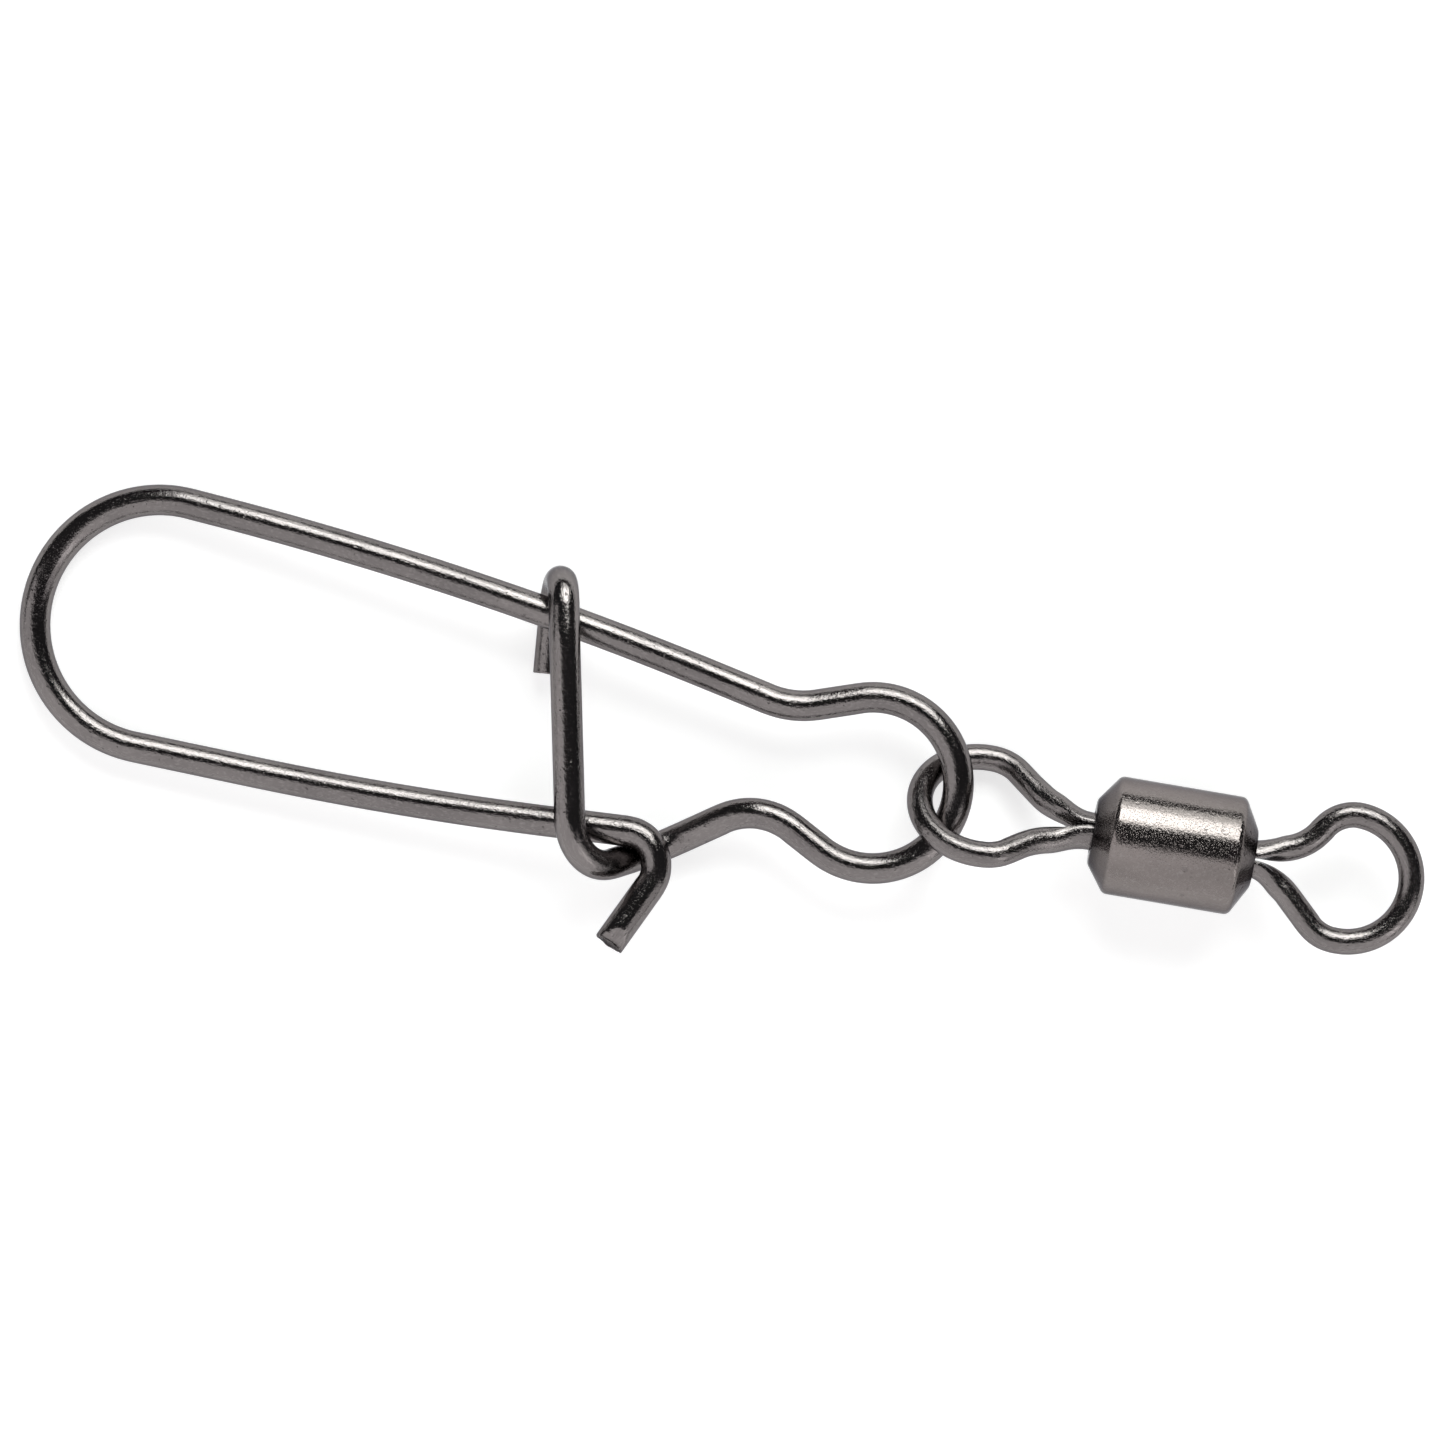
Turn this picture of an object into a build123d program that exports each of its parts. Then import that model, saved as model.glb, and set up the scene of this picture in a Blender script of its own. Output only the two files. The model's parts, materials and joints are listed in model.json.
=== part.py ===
# Fishing snap swivel, lying flat as it comes to rest on a table.
#
# The snap is one bent spring wire: a long loop with a wide rounded nose, a latch bar whose hook straddles
# the upper arm, and a catch on the free end of the lower arm that lies in front of the latch bar's foot.
# The narrow end of the loop is a round ring, threaded through one eye of a rolling swivel.
# The swivel is a short barrel with a wire eye at each end. Each eye is one wire: its two legs are pressed
# to half rounds, pass side by side through the barrel's end hole and end in two half heads inside,
# which together make one round head that turns behind the end wall.
#
# Millimetres. +X runs along the barrel's axis towards the line eye, +Y across it and +Z up from the table.
# The origin lies on the table, under the middle of the whole part.

import os
from math import acos, atan2, cos, degrees, radians, sin, sqrt, tan

from build123d import *

# Snap wire and its crossings
snap_wire = 0.95  # wire diameter
crossing_gap = 0.08  # air between two runs of the wire where one passes over the other

# Snap loop, on the wire's centreline, measured from the middle of the ring
ring_radius = 2.58  # round end that carries the swivel
nose_radius = 3.77  # wide rounded end that carries the lure
nose_distance = 22.1  # from the ring's middle to the nose's middle
upper_bow_ahead = 8.78  # the upper arm's long bow: where its end tangents meet, ahead of the nose's middle
upper_bow_height = 3.46
upper_bow_share = 0.97  # share of the shorter run beside it that the bow takes up
upper_bow_lift = 0.8  # the upper arm arches this far forward of the loop's plane, at the same point
lower_bow_ahead = 8.3
lower_bow_depth = 3.68
lower_bow_share = 0.6
shoulder_back = 2.86  # the dip that leads from the upper arm into the ring
shoulder_height = 1.66
shoulder_radius = 2.8
waist_back = 3.22  # the hump that leads from the latch bar's foot into the ring
waist_depth = 1.31
waist_radius = 2.05

# Latch bar and its hook
bar_share = 0.696  # how far along the upper arm's bow the hook sits, from the nose
bar_foot_share = 0.679  # how far along the lower arm's straight run the bar crosses it
hook_rise = 1.18  # from the upper arm's centreline to the hook's top
hook_skew = 0.3  # how far the hook's back leg stands nearer the nose than the bar
hook_tail = 2.72  # length of the back leg, from the hook's top
hook_lean = -7.0  # degrees that the back leg leans from the bar, positive towards the ring
hook_fill = 0.97  # hook's bend radius, as a share of half the distance between its legs
foot_drop = 1.57  # from the lower arm's centreline to the foot's corner
foot_radius = 1.38

# Catch on the free end of the lower arm
catch_back = 6.1  # corner of the catch, from the ring's middle
catch_depth = 3.04
catch_lift = 0.55  # the catch stands this far forward of the loop's plane
catch_drop = 1.24  # from the catch's first corner to its second
catch_turn = 17.2  # degrees that the drop leans towards the ring
catch_radius = 0.96
tail_length = 2.5
tail_heading = -112.8  # degrees from the loop's long axis
tail_rise = 0.55  # how far the cut end stands forward of the catch
crossing_drop = 0.47  # the foot's wire passes behind the catch, this far below the catch's corner
crossing_depth = 1.3  # how far behind, in layers of wire
crossing_radius = 2.0

# Swivel barrel
barrel_diameter = 3.6
barrel_straight = 3.82  # between the two rims
snap_cone = 0.6  # length of the tapered end on the snap's side
snap_mouth = 1.96  # its small end
line_cone = 0.52
line_mouth = 1.72
rim_round = 0.13
mouth_round = 0.22
barrel_wall = 0.48  # beside the bore that the two heads turn in
end_wall = 0.5  # length of the hole in each end
seat_cone = 0.35  # length of the bearing cone inside each end wall

# Swivel eyes, both from the same wire, measured from the head's shoulder
eye_wire = 0.8
eye_radius = 1.92  # ring of the eye, on the wire's centreline
knee_angle = 93.0  # degrees from the tip to where each leg leaves the eye's circle
knee_reach = 0.5
knee_radius = 1.2
neck_share = 0.85  # how much of a leg's run from shank to bend its bend takes
leg_slit = 0.05  # between the two legs
shank_diameter = 1.2
shank_length = 0.95  # half-round stretch
neck_length = 0.28  # stretch where a leg changes from half round to round
head_length = 0.75
head_round = 0.2

# How each eye is bent by hand: to its middle, the middle's shift to the near leg's side, and its neck bends
snap_eye_reach = 3.91
snap_eye_offset = 0.28
snap_eye_near_bend = 1.46
snap_eye_far_bend = 1.6
line_eye_reach = 3.81
line_eye_offset = 0.09
line_eye_near_bend = 1.75
line_eye_far_bend = 1.93

# Fits and pose
hole_clearance = 0.05  # radial, between the shank and the barrel's hole
head_play = 0.22  # radial, between a head and the barrel's bore
seat_gap = 0.04  # between the snap eye's head and its bearing cone
end_play = 0.39  # how far the line eye is pushed in
link_gap = 0.235
link_angle = -4.5  # degrees round the ring to where the eye hangs
snap_lean = -2.8  # degrees between the loop's long axis and the barrel's axis
snap_dip = 2.34
snap_eye_roll = -41.0  # degrees that the snap eye is turned about the barrel's axis
line_eye_roll = 0.0

layer = snap_wire + crossing_gap  # distance between two crossing runs, centre to centre
least_run = 1e-4  # a straight shorter than this is left out
eye_below_axis = (eye_radius + snap_eye_offset) * sin(radians(-snap_eye_roll)) + eye_wire / 2
axis_height = max(barrel_diameter / 2, eye_below_axis)  # whichever of barrel and eye rests on the table
barrel_bore = barrel_diameter - 2 * barrel_wall
head_diameter = barrel_bore - 2 * head_play
snap_end = -barrel_straight / 2 - snap_cone
line_end = barrel_straight / 2 + line_cone


def on_circle(centre, radius, angle):
    """The point of a level circle at an angle in degrees from +X."""
    return centre + Vector(radius * cos(radians(angle)), radius * sin(radians(angle)), 0)


def tangent_angle(point, centre, radius, side):
    """Angle where a line from the point touches the circle, +1 on its anticlockwise side."""
    away = point - centre
    reach = sqrt(away.X**2 + away.Y**2)
    return degrees(atan2(away.Y, away.X)) + side * degrees(acos(radius / reach))


def wrap(centre, radius, start, end, count):
    """Corners, each with its radius, whose joined arcs follow a circle from one angle to another."""
    step = (end - start) / count
    stand_off = radius / cos(radians(step / 2))
    return [(on_circle(centre, stand_off, start + step * (i + 0.5)), radius) for i in range(count)]


def bend(before, corner, after, radius):
    """The tangent arc at a corner of a polyline, as its start, middle and end."""
    into = (corner - before).normalized()
    out = (after - corner).normalized()
    half_turn = radians(into.get_angle(out) / 2)
    inward = (out - into).normalized()
    reach = radius * tan(half_turn)
    middle = corner + inward * (radius / cos(half_turn) - radius)
    return corner - into * reach, middle, corner + out * reach


def easy_radius(before, corner, after, share):
    """The radius of a long bow that takes up a share of the shorter of its two runs."""
    turn = (corner - before).get_angle(after - corner)
    run = min((corner - before).length, (after - corner).length)
    return share * run / tan(radians(turn / 2))


def wire_path(first, corners, last):
    """Straight runs joined by tangent arcs, through corners given as (point, radius)."""
    points = [first] + [point for point, _ in corners] + [last]
    edges = []
    here = first
    for i, (_, radius) in enumerate(corners):
        start, middle, end = bend(points[i], points[i + 1], points[i + 2], radius)
        if (start - here).length > least_run:
            edges.append(Edge.make_line(here, start))
        edges.append(Edge.make_three_point_arc(start, middle, end))
        here = end
    if (last - here).length > least_run:
        edges.append(Edge.make_line(here, last))
    return Wire(edges)


def round_wire(path, diameter):
    """A round wire drawn along a path, with square-cut ends."""
    return sweep(Plane(path @ 0, z_dir=path % 0) * Circle(diameter / 2), path=path)


def snap_path():
    """The snap wire's centreline in the loop's own plane, from the hook's tail to the catch's tail."""
    ring = Vector(0, 0, 0)
    nose = Vector(-nose_distance, 0, 0)
    waist = Vector(-waist_back, -waist_depth, 0)
    shoulder = Vector(-shoulder_back, shoulder_height, 0)
    upper_bow = nose + Vector(upper_bow_ahead, upper_bow_height, upper_bow_lift)
    lower_bow = nose + Vector(lower_bow_ahead, -lower_bow_depth, 0)
    catch = Vector(-catch_back, -catch_depth, catch_lift)

    ring_start = tangent_angle(waist, ring, ring_radius, 1)
    ring_end = tangent_angle(shoulder, ring, ring_radius, -1)
    nose_start = tangent_angle(upper_bow, nose, nose_radius, 1)
    nose_end = tangent_angle(lower_bow, nose, nose_radius, -1) + 360
    nose_top = on_circle(nose, nose_radius, nose_start)
    nose_bottom = on_circle(nose, nose_radius, nose_end)

    upper_radius = easy_radius(nose_top, upper_bow, shoulder, upper_bow_share)
    lower_radius = easy_radius(nose_bottom, lower_bow, catch, lower_bow_share)
    upper_arc = Edge.make_three_point_arc(*bend(nose_top, upper_bow, shoulder, upper_radius))

    front = Vector(0, 0, layer)
    over_arm = upper_arc @ bar_share
    at_foot = lower_bow + (catch - lower_bow) * bar_foot_share
    along_bar = (at_foot - over_arm).normalized()
    across_bar = Vector(-along_bar.Y, along_bar.X, 0).normalized()
    hook_front = over_arm - along_bar * hook_rise + front
    hook_back = over_arm - along_bar * hook_rise - across_bar * hook_skew - front
    hook_end = hook_back + along_bar.rotate(Axis.Z, hook_lean) * hook_tail
    hook_radius = (hook_front - hook_back).length / 2 * hook_fill
    foot = at_foot + along_bar * foot_drop + front
    crossing = catch + Vector(0, -crossing_drop, -layer * crossing_depth)

    drop = Vector(sin(radians(catch_turn)), -cos(radians(catch_turn)), 0) * catch_drop
    tail = Vector(cos(radians(tail_heading)), sin(radians(tail_heading)), 0) * tail_length
    tail_end = catch + drop + tail + Vector(0, 0, tail_rise)

    corners = [
        (hook_back, hook_radius),
        (hook_front, hook_radius),
        (foot, foot_radius),
        (crossing, crossing_radius),
        (waist, waist_radius),
        *wrap(ring, ring_radius, ring_start, ring_end, 3),
        (shoulder, shoulder_radius),
        (upper_bow, upper_radius),
        *wrap(nose, nose_radius, nose_start, nose_end, 3),
        (lower_bow, lower_radius),
        (catch, catch_radius),
        (catch + drop, catch_radius),
    ]
    return wire_path(hook_end, corners, tail_end)


def turned(corners, radii):
    """A solid turned about the X axis from the corners of its half section."""
    return revolve(make_face(FilletPolyline(*corners, radius=radii, close=True)), axis=Axis.X)


def make_barrel():
    """The shell: straight middle, tapered ends, a hole in each end and a bearing cone behind each hole."""
    hole = shank_diameter / 2 + hole_clearance
    rim = barrel_diameter / 2
    bore = barrel_bore / 2
    corners = [
        (snap_end, hole),
        (snap_end, snap_mouth / 2),
        (-barrel_straight / 2, rim),
        (barrel_straight / 2, rim),
        (line_end, line_mouth / 2),
        (line_end, hole),
        (line_end - end_wall, hole),
        (line_end - end_wall - seat_cone, bore),
        (snap_end + end_wall + seat_cone, bore),
        (snap_end + end_wall, hole),
    ]
    radii = [0, mouth_round, rim_round, rim_round, mouth_round, 0, 0, 0, 0, 0]
    return Pos(0, 0, axis_height) * turned(corners, radii)


def eye_path(reach, offset, near_bend, far_bend):
    """The eye's centreline, from the end of one neck round the eye to the end of the other."""
    middle = Vector(reach, -offset, 0)
    leg = (leg_slit + eye_wire) / 2
    start = Vector(shank_length + neck_length, -leg, 0)
    end = Vector(shank_length + neck_length, leg, 0)
    near = Vector(near_bend, -leg, 0)
    far = Vector(far_bend, leg, 0)
    knees = []
    for side in (-1, 1):
        turn = radians(knee_angle)
        away = Vector(-sin(turn), side * cos(turn), 0) * knee_reach
        knees.append(on_circle(middle, eye_radius, side * knee_angle) + away)
    corners = [
        (near, easy_radius(start, near, knees[0], neck_share)),
        (knees[0], knee_radius),
        *wrap(middle, eye_radius, -knee_angle, knee_angle, 3),
        (knees[1], knee_radius),
        (far, easy_radius(end, far, knees[1], neck_share)),
    ]
    return wire_path(start, corners, end)


def make_neck(side):
    """One leg's change from half round to round."""
    flat = side * leg_slit / 2
    shank = shank_diameter / 2
    edge = sqrt(shank**2 - flat**2)
    leg = side * (leg_slit + eye_wire) / 2
    wire = eye_wire / 2
    across = Plane((shank_length, 0, 0), x_dir=(0, 1, 0), z_dir=(1, 0, 0))
    beyond = across.offset(neck_length)
    outside = ThreePointArc((flat, edge), (side * shank, 0), (flat, -edge))
    half_round = Line((flat, -edge), (flat, edge)) + outside
    inner = ThreePointArc((leg, -wire), (leg - side * wire, 0), (leg, wire))
    outer = ThreePointArc((leg, wire), (leg + side * wire, 0), (leg, -wire))
    return loft([across * make_face(half_round), beyond * make_face(inner + outer)])


def make_eye(reach, offset, near_bend, far_bend):
    """One swivel eye along +X from its head's shoulder: half heads, half-round shank, necks and ring."""
    shank = shank_diameter / 2
    head = head_diameter / 2
    bearing = (head - shank) * seat_cone / (barrel_bore / 2 - shank - hole_clearance)  # as steep as its seat
    corners = [
        (shank_length, 0),
        (shank_length, shank),
        (0, shank),
        (-bearing, head),
        (-head_length, head),
        (-head_length, 0),
    ]
    stem = turned(corners, [0, 0, 0, 0, head_round, 0])
    slit = Box(2 * (head_length + shank_length), leg_slit, 2 * head_diameter)
    ring = round_wire(eye_path(reach, offset, near_bend, far_bend), eye_wire)
    return stem - slit + make_neck(-1) + make_neck(1) + ring


def snap_eye_place():
    shoulder = snap_end + end_wall + seat_gap
    return Pos(shoulder, 0, axis_height) * Rot(snap_eye_roll, 0, 0) * Rot(0, 0, 180)


def line_eye_place():
    shoulder = line_end - end_wall - seat_gap - end_play
    return Pos(shoulder, 0, axis_height) * Rot(line_eye_roll, 0, 0)


def snap_place():
    """Where the ring's middle stands and how the loop leans, before the snap is lowered to the table."""
    tip = (snap_eye_place() * Pos(snap_eye_reach + eye_radius, -snap_eye_offset, 0)).position
    pitch = ring_radius - (snap_wire + eye_wire) / 2 - link_gap
    ring = on_circle(tip, -pitch, link_angle)
    return Pos(ring.X, ring.Y, 0) * Rot(0, 0, snap_lean) * Rot(0, -snap_dip, 0)


def make_snap_wire():
    """The snap laid on the table, its ring hanging in the snap eye."""
    laid = snap_place() * round_wire(snap_path(), snap_wire)
    return Pos(0, 0, -laid.bounding_box().min.Z) * laid


def build():
    """Every piece in place, with the origin on the table under the middle."""
    snap_eye = make_eye(snap_eye_reach, snap_eye_offset, snap_eye_near_bend, snap_eye_far_bend)
    line_eye = make_eye(line_eye_reach, line_eye_offset, line_eye_near_bend, line_eye_far_bend)
    pieces = {
        "snap_wire": make_snap_wire(),
        "snap_eye": snap_eye_place() * snap_eye,
        "barrel": make_barrel(),
        "line_eye": line_eye_place() * line_eye,
    }
    box = Compound(list(pieces.values())).bounding_box()
    to_middle = Pos(-box.center().X, -box.center().Y, -box.min.Z)
    return {name: to_middle * piece for name, piece in pieces.items()}


os.makedirs("parts", exist_ok=True)
for name, piece in build().items():
    export_step(piece, f"parts/{name}.step")
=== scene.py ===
import bpy
import json
from math import acos, atan2, ceil, cos, degrees, pi, radians, sin, sqrt, tan
from mathutils import Matrix, Quaternion, Vector, noise


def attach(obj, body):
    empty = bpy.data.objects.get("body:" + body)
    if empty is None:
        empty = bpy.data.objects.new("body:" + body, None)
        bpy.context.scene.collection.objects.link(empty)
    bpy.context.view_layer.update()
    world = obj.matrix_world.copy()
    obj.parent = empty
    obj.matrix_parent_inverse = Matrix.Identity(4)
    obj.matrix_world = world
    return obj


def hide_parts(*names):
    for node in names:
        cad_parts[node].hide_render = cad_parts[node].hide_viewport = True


# A fishing snap swivel lying on a table, seen from straight above.
# Sizes in the dictionaries are in millimetres and angles in degrees.
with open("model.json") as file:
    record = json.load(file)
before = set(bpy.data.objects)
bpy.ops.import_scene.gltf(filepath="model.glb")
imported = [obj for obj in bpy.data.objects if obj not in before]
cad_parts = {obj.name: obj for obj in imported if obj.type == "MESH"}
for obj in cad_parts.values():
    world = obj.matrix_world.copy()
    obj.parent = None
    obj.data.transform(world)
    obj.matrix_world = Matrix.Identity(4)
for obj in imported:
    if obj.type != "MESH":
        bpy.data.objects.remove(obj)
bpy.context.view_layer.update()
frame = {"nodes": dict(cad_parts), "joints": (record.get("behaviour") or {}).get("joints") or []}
mm = 0.001
joints = {joint["name"]: joint for joint in frame["joints"]}
barrelMiddle = Vector(joints["barrel_spin"]["pos_m"]) / mm
ringMiddle = Vector(joints["link_swing"]["pos_m"]) / mm
print("loaded", len(frame["nodes"]), "nodes")


# Centrelines

def onCircle(centre, radius, angle):
    return centre + Vector((radius * cos(radians(angle)), radius * sin(radians(angle)), 0))


def touchAngle(point, centre, radius, side):  # where a line from the point touches the circle
    away = point - centre
    return degrees(atan2(away.y, away.x)) + side * degrees(acos(radius / away.xy.length))


def roundTheCircle(centre, radius, start, end, count=3):  # corners of a run that follows a circle
    step = (end - start) / count
    standOff = radius / cos(radians(step / 2))
    return [(onCircle(centre, standOff, start + step * (i + 0.5)), radius) for i in range(count)]


def easyRadius(before, corner, after, share):  # the bend that uses this share of the shorter run
    turn = (corner - before).angle(after - corner)
    run = min((corner - before).length, (after - corner).length)
    return share * run / tan(turn / 2)


def bendPoints(before, corner, after, radius, step):  # the arc that rounds a corner
    into, out = (corner - before).normalized(), (after - corner).normalized()
    turn = into.angle(out)
    centre = corner + (out - into).normalized() * radius / cos(turn / 2)
    start = corner - into * radius * tan(turn / 2) - centre
    axis = into.cross(out).normalized()
    count = max(3, ceil(radius * turn / step))
    return [centre + Quaternion(axis, turn * i / count) @ start for i in range(count + 1)]


def centreline(first, corners, last, step):  # straight runs with an arc at each corner
    line = [first]
    stops = [first] + [corner for corner, radius in corners] + [last]
    runs = [bendPoints(*stops[i:i + 3], corners[i][1], step) for i in range(len(corners))] + [[last]]
    for run in runs:
        start = line[-1]
        gap = (run[0] - start).length
        count = ceil(gap / step)
        line += [start.lerp(run[0], i / count) for i in range(1, count)]
        line += run if gap > step / 4 else run[1:]  # two arcs that meet share a point
    return line


def followLine(line, sideways):  # each point with its tangent, two crossing directions and its bend
    stops = []
    travelled = 0
    for i, point in enumerate(line):
        before, after = line[max(i - 1, 0)], line[min(i + 1, len(line) - 1)]
        tangent = (after - before).normalized()
        if stops:
            sideways = stops[-1]["tangent"].rotation_difference(tangent) @ sideways
            travelled += (point - before).length
        sideways = (sideways - tangent * sideways.dot(tangent)).normalized()
        bend = Vector((0, 0, 0))
        if 0 < i < len(line) - 1:
            swerve = (after - point).normalized() - (point - before).normalized()
            bend = swerve * 2 / (after - before).length
        stops.append({"point": point, "tangent": tangent, "sideways": sideways,
                      "up": tangent.cross(sideways), "travelled": travelled, "bend": bend})
    return stops


# Meshes

seedSteps = (17.3, 5.1, 9.7)  # moves the noise of each seed away from the others
sharpAngle = 40


def wander(place, size, seed):  # smooth value for a place, about -1 to 1
    return noise.noise(place / size + Vector([step * seed for step in seedSteps]))


def easeIn(value):
    value = min(max(value, 0), 1)
    return value * value * (3 - 2 * value)


def anglesRound(size):
    return [2 * pi * k / size["sides"] for k in range(size["sides"])]


def bentness(stop, size):  # 0 on a straight run, 1 where the wire's inner side has no radius left
    return min(stop["bend"].length * size["wire"] / 2, 1)


def skinRings(name, rings, laid, wearAndShade, closed=False):  # rings of points joined into one skin
    sides, count = len(rings[0]), len(rings)
    faces = []
    for i in range(count if closed else count - 1):
        for k in range(sides):
            near, far, after = i * sides, (i + 1) % count * sides, (k + 1) % sides
            faces.append((near + k, near + after, far + after, far + k))
    if not closed:
        faces.append(tuple(range(sides))[::-1])
        faces.append(tuple((count - 1) * sides + k for k in range(sides)))
    mesh = bpy.data.meshes.new(name)
    mesh.from_pydata([point * mm for ring in rings for point in ring], [], faces)
    mesh.attributes.new("laid", "FLOAT_VECTOR", "POINT").data.foreach_set(
        "vector", [value for ring in laid for place in ring for value in place])
    mesh.attributes.new("wearAndShade", "FLOAT", "POINT").data.foreach_set(
        "value", [amount for amount in wearAndShade for k in range(sides)])
    mesh.shade_smooth()
    mesh.set_sharp_from_angle(angle=radians(sharpAngle))
    piece = bpy.data.objects.new(name, mesh)
    bpy.context.scene.collection.objects.link(piece)
    return piece


def dress(piece, node, body, material):
    piece.data.materials.append(material)
    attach(piece, body)
    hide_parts(node)
    print("made", piece.name, "with", len(piece.data.polygons), "faces")


# Finishes

class Value:  # a socket that can be used in sums
    def __init__(self, finish, socket):
        self.finish, self.socket = finish, socket

    def sum(self, operation, first, second, clamped=False):
        settings = {"operation": operation, "use_clamp": clamped}
        return self.finish.node("ShaderNodeMath", settings, {0: first, 1: second})

    def __add__(self, other):
        return self.sum("ADD", self, other)

    def __sub__(self, other):
        return self.sum("SUBTRACT", self, other)

    def __rsub__(self, other):
        return self.sum("SUBTRACT", other, self)

    def __mul__(self, other):
        return self.sum("MULTIPLY", self, other)

    __radd__, __rmul__ = __add__, __mul__

    def clamp(self):
        return self.sum("MULTIPLY", self, 1, clamped=True)

    def between(self, low, high):  # 0 below low, 1 above high
        inputs = {"Value": self, "From Min": low, "From Max": high}
        return self.finish.node("ShaderNodeMapRange", {"clamp": True}, inputs)


class Finish:  # one material and the nodes in it
    def __init__(self, name):
        self.material = bpy.data.materials.new(name)
        self.material.use_nodes = True
        self.tree = self.material.node_tree
        self.shader = self.tree.nodes["Principled BSDF"]

    def feed(self, socket, value):  # a link from a node, or a value set on the socket itself
        if isinstance(value, Value):
            self.tree.links.new(value.socket, socket)
        else:
            socket.default_value = value

    def node(self, kind, settings, inputs, output=0):
        made = self.tree.nodes.new(kind)
        for key, setting in settings.items():
            setattr(made, key, setting)
        for key, value in inputs.items():
            self.feed(made.inputs[key], value)
        return Value(self, made.outputs[output])

    def stored(self, attribute, output):
        return self.node("ShaderNodeAttribute", {"attribute_name": attribute}, {}, output)

    def blend(self, share, first, second):  # two colours
        inputs = {0: share, 6: first, 7: second}  # the Mix node's factor and colour sockets
        return self.node("ShaderNodeMix", {"data_type": "RGBA"}, inputs, 2)

    def speckle(self, seed, across, along, detail=3, roughness=0.6):  # noise along the straightened wire
        stretch = {0: self.stored("laid", "Vector"), 1: (across, across, along)}
        inputs = {"Vector": self.node("ShaderNodeVectorMath", {"operation": "MULTIPLY"}, stretch),
                  "W": seed, "Scale": 1, "Detail": detail, "Roughness": roughness}
        return self.node("ShaderNodeTexNoise", {"noise_dimensions": "4D"}, inputs)

    def use(self, **sockets):
        for name, value in sockets.items():
            self.feed(self.shader.inputs[name.replace("_", " ")], value)
        return self.material


noiseMiddle = 0.5


def platedFinish(name, look):  # dark plating with drawn streaks, fine grain, pits, rubbed places and painted shade
    finish = Finish(name)
    streaks = finish.speckle(1, look["streaksAcross"], look["streaksAlong"])
    grain = finish.speckle(2, look["grain"], look["grain"] * look["grainStretch"])
    swell = finish.speckle(3, look["swell"], look["swell"] * look["swellStretch"], detail=2, roughness=0.5)
    pits = finish.speckle(4, look["pits"], look["pits"], detail=1, roughness=0.5)
    pits = pits.between(*look["pitRange"])
    clouds = finish.speckle(5, look["clouds"], look["clouds"] * look["cloudStretch"])
    specks = finish.speckle(6, look["specks"], look["specks"], detail=1, roughness=0.5)
    specks = specks.between(*look["speckRange"])
    wearAndShade = finish.stored("wearAndShade", "Fac")
    colour = finish.blend(clouds.between(*look["cloudRange"]), (*look["dark"], 1), (*look["light"], 1))
    flecks = grain.between(*look["fleckRange"]) * look["flecks"]
    colour = finish.blend(flecks, colour, (*look["fleck"], 1))
    # painted shade: the darker colour on the barrel's cones and in the middle of the tail's cut face, mixed
    # with the real stain in the pits
    cutWearAndShade = (wearAndShade - 1).clamp()
    stainAndShade = pits * look["pitStain"] + wearAndShade * look["paintedShade"] + cutWearAndShade * look["cutPaintedShade"]
    colour = finish.blend(stainAndShade.clamp(), colour, (*look["stainAndShade"], 1))
    grainHeight = grain * (look["grainDepth"] + wearAndShade * look["pressedDepth"])
    height = specks * look["speckDepth"] + streaks * look["streakDepth"] + grainHeight
    height = height + swell * look["swellDepth"] - pits * look["pitDepth"]
    normal = finish.node("ShaderNodeBump", {}, {"Strength": 1, "Distance": mm, "Height": height})
    rough = look["roughness"] + (streaks - noiseMiddle) * look["roughnessStreaks"]
    rough = rough + (clouds - noiseMiddle) * look["roughnessClouds"] + wearAndShade * look["pressedRoughness"]
    return finish.use(Base_Color=colour, Metallic=1, Roughness=rough.clamp(), Normal=normal,
                      Specular_Tint=(*look["rim"], 1))


# Snap: one length of spring wire

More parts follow.
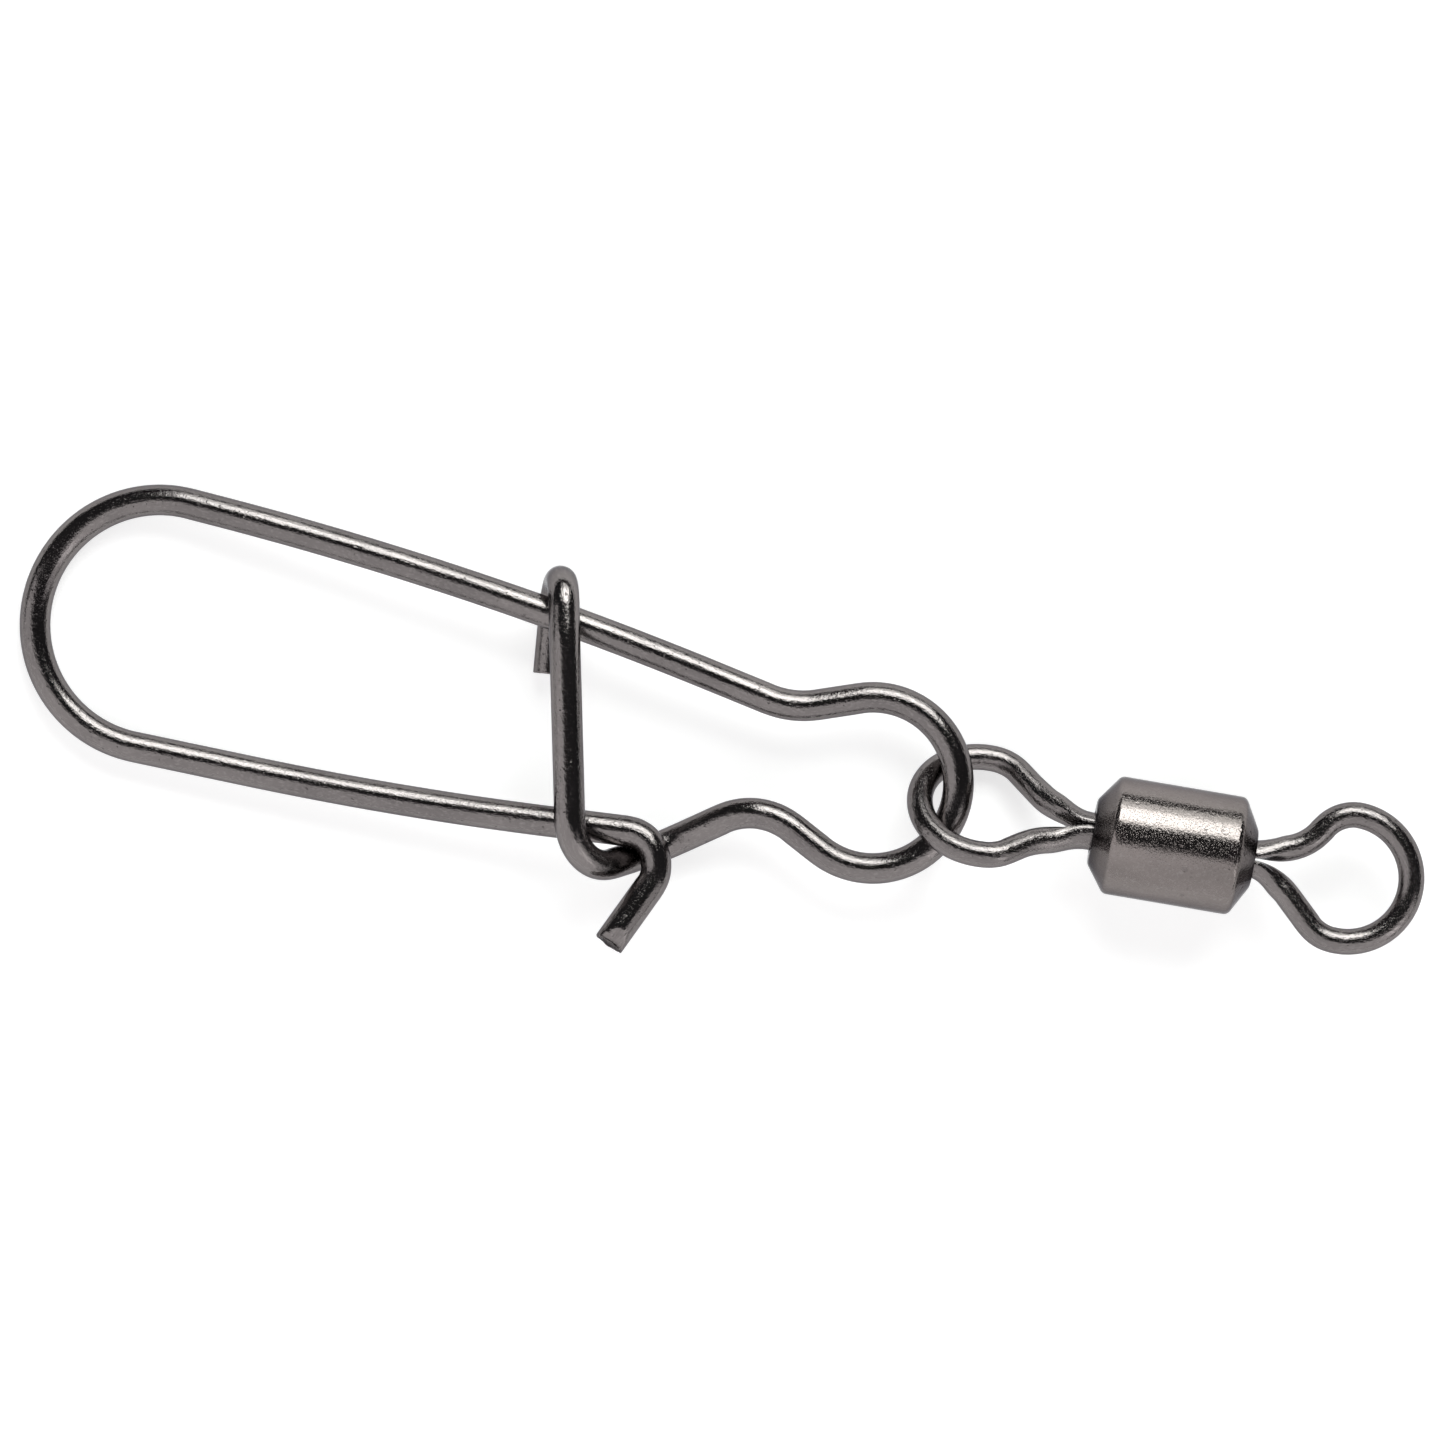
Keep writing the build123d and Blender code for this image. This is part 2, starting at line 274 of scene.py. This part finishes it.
snapWire = {
    "wire": 0.945, "sides": 48, "step": 0.1, "layer": 1.03,
    "ringRadius": 2.58, "noseRadius": 3.77, "noseDistance": 22.1,
    "upperBow": (8.78, 3.46, 0.8), "upperShare": 0.97, "lowerBow": (8.3, -3.68, 0), "lowerShare": 0.6,
    "shoulder": (-2.86, 1.66, 0), "shoulderRadius": 2.8, "waist": (-3.22, -1.31, 0), "waistRadius": 2.05,
    "barShare": 0.696, "barFootShare": 0.679, "hookRise": 1.18, "hookSkew": 0.3, "hookTail": 2.72,
    "hookLow": 0.78, "hookEase": 1.75, "hookEaseRadius": 3.2, "hookHigh": 1.08,
    "hookLean": -7.0, "hookFill": 0.97, "footDrop": 1.57, "footRise": 0.32, "footRadius": 1.38,
    "catch": (-6.1, -2.94, 0.55), "catchDrop": 1.26, "catchTurn": 17.2, "catchRadius": 0.96,
    "tailLength": 2.43, "tailHeading": -112.8, "tailRise": 0.35,
    "crossingDrop": 0.52, "crossingDepth": 1.3, "crossingRadius": 2.0,
    "lean": -2.8, "dip": 2.34,
    "seed": 1, "unevenness": 0.006, "unevennessSize": 1.6,
    "squeeze": 0.05, "bendWear": 0.35, "straightBend": 0.01,
    # the cutter pressed a slanted facet into the front of the free tail
    "shear": 0.6, "shearDepth": 0.5, "shearSlant": 0.35,
    "shearRough": 0.11, "shearGrain": 0.13, "shearSeed": 2,
    # rings of a cut face: share of the radius, rise, and the tail face's roughness, whose values above 1 are
    # painted shade that darkens the face towards its middle
    "cutRings": ((1, 0.02, 1.2), (0.975, 0.05, 1.4), (0.9, 0.06, 1.8), (0.72, 0.045, 2),
                 (0.5, 0.02, 2), (0.28, 0.01, 2), (0.08, 0, 2)),
    "cutLift": 0.02, "burrGrain": 0.22, "burrReach": 1.5,
    "hookBurr": 0.021, "hookWear": 0.6, "hookSeed": 3, "tailBurr": 0.07, "tailSeed": 4,
}


def snapLine(size):  # from the cut end behind the hook, round the loop, to the cut end below the catch
    nose = Vector((-size["noseDistance"], 0, 0))
    ring = Vector((0, 0, 0))
    waist, shoulder, catch = Vector(size["waist"]), Vector(size["shoulder"]), Vector(size["catch"])
    upperBow, lowerBow = nose + Vector(size["upperBow"]), nose + Vector(size["lowerBow"])
    ringTurn = (touchAngle(waist, ring, size["ringRadius"], 1),
                touchAngle(shoulder, ring, size["ringRadius"], -1))
    noseTurn = (touchAngle(upperBow, nose, size["noseRadius"], 1),
                touchAngle(lowerBow, nose, size["noseRadius"], -1) + 360)
    noseTop, noseBottom = (onCircle(nose, size["noseRadius"], angle) for angle in noseTurn)
    upperRadius = easyRadius(noseTop, upperBow, shoulder, size["upperShare"])
    lowerRadius = easyRadius(noseBottom, lowerBow, catch, size["lowerShare"])
    upperArc = bendPoints(noseTop, upperBow, shoulder, upperRadius, size["step"] / 10)
    overArm = upperArc[round(size["barShare"] * (len(upperArc) - 1))]  # where the bar crosses the upper arm
    front = Vector((0, 0, size["layer"]))
    atFoot = lowerBow.lerp(catch, size["barFootShare"])
    alongBar = (atFoot - overArm).normalized()
    acrossBar = Vector((-alongBar.y, alongBar.x, 0)).normalized()
    crown = overArm - alongBar * size["hookRise"]
    hookFront = crown + front * size["hookLow"]
    hookBack = crown - acrossBar * size["hookSkew"] - front
    hookEase = crown + alongBar * size["hookEase"] + front * size["hookHigh"]
    hookEnd = hookBack + Matrix.Rotation(radians(size["hookLean"]), 3, "Z") @ alongBar * size["hookTail"]
    hookRadius = (hookFront - hookBack).length / 2 * size["hookFill"]
    crossing = catch + Vector((0, -size["crossingDrop"], -size["layer"] * size["crossingDepth"]))
    below = onCircle(catch, size["catchDrop"], size["catchTurn"] - 90)
    tailEnd = onCircle(below, size["tailLength"], size["tailHeading"]) + Vector((0, 0, size["tailRise"]))
    corners = [
        (hookBack, hookRadius), (hookFront, hookRadius), (hookEase, size["hookEaseRadius"]),
        (atFoot + alongBar * size["footDrop"] + front * (1 + size["footRise"]), size["footRadius"]),
        (crossing, size["crossingRadius"]), (waist, size["waistRadius"]),
        *roundTheCircle(ring, size["ringRadius"], *ringTurn),
        (shoulder, size["shoulderRadius"]), (upperBow, upperRadius),
        *roundTheCircle(nose, size["noseRadius"], *noseTurn),
        (lowerBow, lowerRadius), (catch, size["catchRadius"]), (below, size["catchRadius"]),
    ]
    return centreline(hookEnd, corners, tailEnd, size["step"])


def sheared(point, middle, share, rough, size):  # the cutter's facet lies level across the front
    top = middle.z + size["wire"] / 2 * (1 - max(size["shearDepth"] * share + rough, 0))
    return Vector((point.x, point.y, min(point.z, top)))


def cutFace(size, middle, outward, edge, around, burr, seed):  # rings that close a cut end, rim first
    rings, laid = [], []
    for share, rise, cutWearAndShade in size["cutRings"]:
        ring = []
        for spot, place in zip(edge, around):
            lip = rise + burr * wander(place * share, size["burrGrain"], seed) * (size["burrReach"] - share)
            ring.append(middle.lerp(spot, share) + outward * (lip + size["cutLift"]))
        rings.append(ring)
        laid.append([place * share for place in around])
    return rings, laid


def snapMesh(size):
    lean, dip = radians(size["lean"]), radians(-size["dip"])
    place = Matrix.Translation(ringMiddle) @ (Matrix.Rotation(lean, 4, "Z") @ Matrix.Rotation(dip, 4, "Y"))
    stops = followLine([place @ point for point in snapLine(size)], Vector((0, 0, 1)))
    rings, laid, wearAndShade = [], [], []
    for stop in stops:
        bent = stop["bend"].length > size["straightBend"]
        inward = stop["bend"].normalized() if bent else Vector((0, 0, 0))
        toCut = (stops[-1]["travelled"] - stop["travelled"]) / size["shear"]
        ring, unrolled = [], []
        for angle in anglesRound(size):
            out = stop["sideways"] * cos(angle) + stop["up"] * sin(angle)
            around = Vector((cos(angle), sin(angle), 0)) * size["wire"] / 2
            around += Vector((0, 0, stop["travelled"]))
            uneven = size["unevenness"] * (1 + wander(around, size["unevennessSize"], size["seed"])) / 2
            squeeze = size["squeeze"] * bentness(stop, size) * out.dot(inward) ** 2
            point = stop["point"] + out * (size["wire"] / 2 * (1 - uneven) * (1 - squeeze))
            if toCut < 1:
                rough = size["shearRough"] * wander(around, size["shearGrain"], size["shearSeed"])
                share = 1 - toCut + size["shearSlant"] * cos(angle)
                point = sheared(point, stop["point"], share, rough, size)
            ring.append(point)
            unrolled.append(around)
        rings.append(ring)
        laid.append(unrolled)
        wearAndShade.append(easeIn(1 - toCut) + size["bendWear"] * bentness(stop, size))
    first, last = stops[0], stops[-1]
    hookFace, hookLaid = cutFace(size, first["point"], -first["tangent"], rings[0], laid[0],
                                 size["hookBurr"], size["hookSeed"])
    tailFace, tailLaid = cutFace(size, last["point"], last["tangent"], rings[-1], laid[-1],
                                 size["tailBurr"], size["tailSeed"])
    rings = hookFace[::-1] + rings + tailFace
    laid = hookLaid[::-1] + laid + tailLaid
    # the tail's cut face takes its roughness and its painted shade from these values
    tailWearAndShade = [cutWearAndShade for share, rise, cutWearAndShade in size["cutRings"]]
    wearAndShade = [size["hookWear"]] * len(hookFace) + wearAndShade + tailWearAndShade
    return skinRings("snap_wire_plated", rings, laid, wearAndShade)


# Swivel eyes: a ring of wire whose two half-round legs end in half heads inside the barrel

eyeWire = {
    "wire": 0.797, "sides": 48, "step": 0.07, "radius": 1.92,
    "kneeAngle": 93, "kneeReach": 0.5, "kneeRadius": 1.2,
    "slit": 0.05, "shank": 1.15, "halfBalance": 0.42, "cornerRounding": 14,
    "head": 2.195, "headLength": 0.75, "headRound": 0.2, "headSteps": 8, "headBearing": 0.261,
    "unevenness": 0.004, "unevennessSize": 1.2, "squeeze": 0.05, "twistFrom": 0.8, "twistTo": 2.4,
    "legWear": 1.4, "legWearLength": 2.5,
}
snapEye = {
    **eyeWire, "side": -1.97, "turn": 180, "roll": -41.0, "seed": 5,
    "reach": 3.91, "offset": 0.28, "nearBend": 1.6, "farBend": 1.88, "nearShare": 0.85, "farShare": 0.8,
    "stemEnd": 0.6, "roundBy": 1.25, "twist": -17.0,
}
lineEye = {
    **eyeWire, "side": 1.5, "turn": 0, "roll": 0, "seed": 6,
    "reach": 3.809, "offset": 0.09, "nearBend": 1.6, "farBend": 2.28, "nearShare": 0.95, "farShare": 0.6,
    "stemEnd": 0.85, "roundBy": 1.05, "twist": 0.0,
}


def halfCentre(size, radius):  # where a half disc beside the slit is measured from, off the slit's middle
    flat = size["slit"] / 2
    return flat + size["halfBalance"] * (radius - flat)


def halfReach(size, radius, angle):  # from there to the half disc's edge, with softened corners
    centre = halfCentre(size, radius)
    toFlat = 1000  # no flat on that side
    if cos(angle) > 0.01:
        toFlat = (centre - size["slit"] / 2) / cos(angle)
    toRound = centre * cos(angle) + sqrt(max(radius ** 2 - (centre * sin(angle)) ** 2, 0))
    power = size["cornerRounding"]
    return (toFlat ** -power + toRound ** -power) ** (-1 / power)


def eyeLine(size):  # from one leg's stem round the ring to the other's
    middle = Vector((size["reach"], -size["offset"], 0))
    leg = (size["slit"] + size["wire"]) / 2
    ends, knees, necks = [], [], []
    for side, bend, share in ((-1, "nearBend", "nearShare"), (1, "farBend", "farShare")):
        turn = radians(size["kneeAngle"])
        away = Vector((-sin(turn), side * cos(turn), 0)) * size["kneeReach"]
        knee = onCircle(middle, size["radius"], side * size["kneeAngle"]) + away
        end, corner = Vector((size["stemEnd"], side * leg, 0)), Vector((size[bend], side * leg, 0))
        ends.append(end)
        knees.append((knee, size["kneeRadius"]))
        necks.append((corner, easyRadius(end, corner, knee, size[share])))
    ring = roundTheCircle(middle, size["radius"], -size["kneeAngle"], size["kneeAngle"])
    return centreline(ends[0], [necks[0], knees[0], *ring, knees[1], necks[1]], ends[1], size["step"])


def stemProfile(size):  # radius of the half-round stem at each place along the axis, from the head's end
    stops = []
    for i in range(size["headSteps"] + 1):
        angle = pi / 2 * i / size["headSteps"]
        stops.append((-size["headLength"] + size["headRound"] * (1 - cos(angle)),
                      size["head"] / 2 - size["headRound"] * (1 - sin(angle))))
    stops += [(-size["headBearing"], size["head"] / 2), (0, size["shank"] / 2)]
    while stops[-1][0] < size["stemEnd"] - 1.5 * size["step"]:  # leaves room before the leg's first ring
        stops.append((stops[-1][0] + size["step"], size["shank"] / 2))
    return stops


def stemStops(size, side, length):  # rings of one half-round stem, in the order of the wire
    stops = []
    for x, radius in stemProfile(size)[::-side]:
        travelled = x - size["stemEnd"] if side < 0 else size["stemEnd"] - x + length
        reaches = [halfReach(size, radius, angle) for angle in anglesRound(size)]
        stops.append({"point": Vector((x, 0, 0)), "sideways": Vector((0, -side, 0)), "up": Vector((0, 0, 1)),
                      "travelled": travelled, "shift": -halfCentre(size, radius), "reaches": reaches,
                      "worn": 1.0})
    return stops


def loopStops(size, line):  # rings of the legs and the eye, from half round at the stem to round
    length = line[-1]["travelled"]
    shank = size["shank"] / 2
    shift = (size["slit"] + size["wire"]) / 2 - halfCentre(size, shank)
    stops = []
    for stop in line:
        fromStem = min(stop["travelled"], length - stop["travelled"])
        whole = easeIn(fromStem / size["roundBy"])
        reaches = []
        for angle in anglesRound(size):
            flat = halfReach(size, shank, angle)
            full = size["wire"] / 2 * (1 - size["squeeze"] * bentness(stop, size) * cos(angle) ** 2)
            reaches.append(flat + (full - flat) * whole)
        stops.append({**stop, "shift": shift * (1 - whole), "reaches": reaches,
                      "worn": easeIn(size["legWear"] - fromStem / size["legWearLength"])})
    return stops


def eyeMesh(name, size):
    place = Matrix.Translation(barrelMiddle + Vector((size["side"], 0, 0)))
    place = place @ Matrix.Rotation(radians(size["roll"]), 4, "X")
    place = place @ Matrix.Rotation(radians(size["turn"]), 4, "Z")
    line = followLine(eyeLine(size), Vector((0, 1, 0)))
    length = line[-1]["travelled"]
    stops = stemStops(size, -1, length) + loopStops(size, line) + stemStops(size, 1, length)
    rings, laid = [], []
    for stop in stops:
        ring, unrolled = [], []
        for angle, reach in zip(anglesRound(size), stop["reaches"]):
            around = Vector((cos(angle), sin(angle), 0)) * reach + Vector((0, 0, stop["travelled"]))
            reach *= 1 - size["unevenness"] * (1 + wander(around, size["unevennessSize"], size["seed"])) / 2
            spot = stop["point"] + stop["sideways"] * (stop["shift"] + reach * cos(angle))
            spot += stop["up"] * reach * sin(angle)
            fade = easeIn((size["twistTo"] - spot.x) / (size["twistTo"] - size["twistFrom"]))
            ring.append(place @ (Matrix.Rotation(radians(size["twist"]) * fade, 3, "X") @ spot))
            unrolled.append(around)
        rings.append(ring)
        laid.append(unrolled)
    return skinRings(name, rings, laid, [stop["worn"] for stop in stops])


# Barrel: a turned shell with tapered ends and a bore for the two heads

barrelShell = {
    "diameter": 3.597, "straight": 3.82, "rimRound": 0.24, "mouthRound": 0.26, "edgeRound": 0.04,
    "snapCone": 0.6, "snapMouth": 1.96, "lineCone": 0.52, "lineMouth": 1.72,
    "hole": 1.3, "bore": 2.64, "endWall": 0.5, "seatCone": 0.35,
    "sides": 192, "step": 0.09, "bendSteps": 6, "seed": 7, "unevenness": 0.0012, "unevennessSize": 1.1,
    # painted shade and wear: past the rims the cones get a darker colour, which stands in for a darker
    # reflection, and a little more roughness
    "rimWearAndShade": 0.6, "rimWearAndShadeLength": 0.08, "coneWearAndShade": 0.8,
}


def barrelProfile(size):  # half section as (along the axis, from the axis), outside first
    half = size["straight"] / 2
    snapEnd, lineEnd = -half - size["snapCone"], half + size["lineCone"]
    hole, rim, bore = size["hole"] / 2, size["diameter"] / 2, size["bore"] / 2
    edge = size["edgeRound"]
    corners = [
        (snapEnd, hole, edge), (snapEnd, size["snapMouth"] / 2, size["mouthRound"]),
        (-half, rim, size["rimRound"]), (half, rim, size["rimRound"]),
        (lineEnd, size["lineMouth"] / 2, size["mouthRound"]), (lineEnd, hole, edge),
        (lineEnd - size["endWall"], hole, edge),
        (lineEnd - size["endWall"] - size["seatCone"], bore, edge),
        (snapEnd + size["endWall"] + size["seatCone"], bore, edge),
        (snapEnd + size["endWall"], hole, edge),
    ]
    places = [Vector((x, r, 0)) for x, r, radius in corners]
    line = []
    for i, (x, r, radius) in enumerate(corners):
        before, after = places[i - 1], places[(i + 1) % len(places)]
        arc = bendPoints(before, places[i], after, radius, radius / size["bendSteps"])
        if line:
            start = line[-1]
            count = ceil((arc[0] - start).length / size["step"])
            line += [start.lerp(arc[0], k / count) for k in range(1, count)]
        line += arc
    return line


def barrelMesh(size):
    rings, laid, wearAndShade = [], [], []
    for stop in barrelProfile(size):
        ring, unrolled = [], []
        for angle in anglesRound(size):
            around = Vector((cos(angle) * stop.y, sin(angle) * stop.y, stop.x))
            uneven = size["unevenness"] * (1 + wander(around, size["unevennessSize"], size["seed"])) / 2
            radius = stop.y * (1 - uneven)
            ring.append(barrelMiddle + Vector((stop.x, cos(angle) * radius, sin(angle) * radius)))
            unrolled.append(around)
        rings.append(ring)
        laid.append(unrolled)
        # painted shade: this value darkens the cones' colour and also roughens them a little
        beyond = abs(stop.x) - size["straight"] / 2
        wearAndShade.append(easeIn(beyond / size["rimWearAndShadeLength"]) * size["rimWearAndShade"]
                       + size["coneWearAndShade"] * easeIn(beyond / size["snapCone"]))
    return skinRings("barrel_plated", rings, laid, wearAndShade, closed=True)


# Plating: grain sizes are in grains to the millimetre, and depths in millimetres

wireLook = {
    "dark": (0.152, 0.14, 0.139), "light": (0.2, 0.184, 0.181), "rim": (0.5, 0.5, 0.52),
    "clouds": 0.9, "cloudStretch": 0.4, "cloudRange": (0.35, 0.68),
    "fleck": (0.29, 0.27, 0.265), "flecks": 0.45, "fleckRange": (0.5, 0.75),
    # the dark colour serves the real pit stains and painted shade: the wear value darkens towards it (not on
    # the wires), and so does the middle of the tail's cut face
    "stainAndShade": (0.06, 0.055, 0.055), "pitStain": 0.6, "paintedShade": 0.0, "cutPaintedShade": 0.8,
    "roughness": 0.08, "roughnessStreaks": 0.06, "roughnessClouds": 0.06, "pressedRoughness": 0.06,
    "streaksAcross": 14, "streaksAlong": 0.9, "streakDepth": 0.004,
    "grain": 13, "grainStretch": 0.5, "grainDepth": 0.01, "pressedDepth": 0.014,
    "swell": 1.6, "swellStretch": 0.5, "swellDepth": 0.012,
    "pits": 7, "pitRange": (0.68, 0.76), "pitDepth": 0.006,
    "specks": 28, "speckRange": (0.58, 0.7), "speckDepth": 0.0014,
}
eyeLook = {
    **wireLook, "grainDepth": 0.012, "pressedDepth": 0.004, "pressedRoughness": 0.02, "speckDepth": 0.0022,
    "swellDepth": 0.007,
}
barrelLook = {
    **wireLook, "dark": (0.17, 0.152, 0.146), "light": (0.218, 0.194, 0.187), "clouds": 0.7,
    # painted shade: the darkening of the barrel's cones
    "roughness": 0.06, "roughnessStreaks": 0.05, "roughnessClouds": 0.03, "paintedShade": 0.45,
    "streaksAcross": 9, "streaksAlong": 1.2, "streakDepth": 0.001,
    "grain": 12, "grainStretch": 0.9, "grainDepth": 0.008, "pressedDepth": 0,
    "swell": 1.0, "swellDepth": 0.015, "pits": 4, "pitDepth": 0.008, "pitStain": 0.25, "speckDepth": 0.0034,
}
snapPlating = platedFinish("snap wire plating", wireLook)
eyePlating = platedFinish("eye plating", eyeLook)
barrelPlating = platedFinish("barrel plating", barrelLook)
dress(snapMesh(snapWire), "snap_wire", "snap", snapPlating)
dress(eyeMesh("snap_eye_plated", snapEye), "snap_eye", "near_eye", eyePlating)
dress(eyeMesh("line_eye_plated", lineEye), "line_eye", "far_eye", eyePlating)
dress(barrelMesh(barrelShell), "barrel", "shell", barrelPlating)


# Table, light and camera

studio = {
    "turn": 9.69, "aim": (-0.161, 1.64, 1.8), "height": 320,
    "sensor": 36, "frameWidth": 1440, "pixelsAtLens": 10624, "clip": (5, 5000),
    "floorSize": 1400, "floorColour": (0.6, 0.6, 0.6), "floorGlow": 0.6,
    "floorRoughness": 0.6, "floorShine": 0.2,
    "roomColour": (0.05, 0.05, 0.052),
}
softbox = {
    "lean": 52, "swing": -15, "distance": 330, "long": 260, "tall": 285, "glow": 2.5,
    "colour": (0.97, 1, 0.975),
}
core = {**softbox, "lean": 46.5, "distance": 325, "long": 230, "tall": 150, "glow": 3.9}
fill = {
    "lean": -50.3, "swing": -28, "distance": 360, "long": 1600, "tall": 600, "glow": 1.1,
    "colour": (1, 0.985, 0.99),
}
side = {**fill, "lean": -62, "swing": 56, "long": 190, "tall": 300, "glow": 0.9}


def makeFloor(size):
    half = size["floorSize"] / 2 * mm
    corners = [(-half, -half, 0), (half, -half, 0), (half, half, 0), (-half, half, 0)]
    mesh = bpy.data.meshes.new("table")
    mesh.from_pydata(corners, [], [(0, 1, 2, 3)])
    table = bpy.data.objects.new("table", mesh)
    bpy.context.scene.collection.objects.link(table)
    paint = Finish("pale table").use(Base_Color=(*size["floorColour"], 1), Roughness=size["floorRoughness"],
                                     Emission_Color=(1, 1, 1, 1), Emission_Strength=size["floorGlow"],
                                     Specular_IOR_Level=size["floorShine"])
    mesh.materials.append(paint)


def hangLight(name, size):  # a soft panel that leans from straight above and swings round the part
    light = bpy.data.lights.new(name, "AREA")
    light.shape = "RECTANGLE"
    light.size, light.size_y = size["long"] * mm, size["tall"] * mm
    light.energy, light.color = size["glow"] * pi * light.size * light.size_y, size["colour"]
    panel = bpy.data.objects.new(name, light)
    turned = Matrix.Rotation(radians(studio["turn"] + size["swing"]), 4, "Z")
    turned = turned @ Matrix.Rotation(radians(-size["lean"]), 4, "X")
    panel.matrix_world = turned @ Matrix.Translation((0, 0, size["distance"] * mm))
    bpy.context.scene.collection.objects.link(panel)


def placeCamera(size):
    lens = bpy.data.cameras.new("lens")
    lens.sensor_width = size["sensor"]
    lens.lens = lens.sensor_width * size["pixelsAtLens"] / size["frameWidth"]
    lens.clip_start, lens.clip_end = (end * mm for end in size["clip"])
    camera = bpy.data.objects.new("camera", lens)
    camera.location = (Vector(size["aim"]) + Vector((0, 0, size["height"]))) * mm
    camera.rotation_euler = (0, 0, radians(size["turn"]))
    bpy.context.scene.collection.objects.link(camera)
    bpy.context.scene.camera = camera


def paintRoom(size):  # the dim room that the plating mirrors between the lights
    room = bpy.data.worlds.new("room")
    room.use_nodes = True
    room.node_tree.nodes["Background"].inputs["Color"].default_value = (*size["roomColour"], 1)
    bpy.context.scene.world = room
    bpy.context.scene.view_settings.view_transform = "Standard"


makeFloor(studio)
hangLight("softbox", softbox)
hangLight("softbox core", core)
hangLight("fill", fill)
hangLight("side", side)
placeCamera(studio)
paintRoom(studio)
print("studio ready")
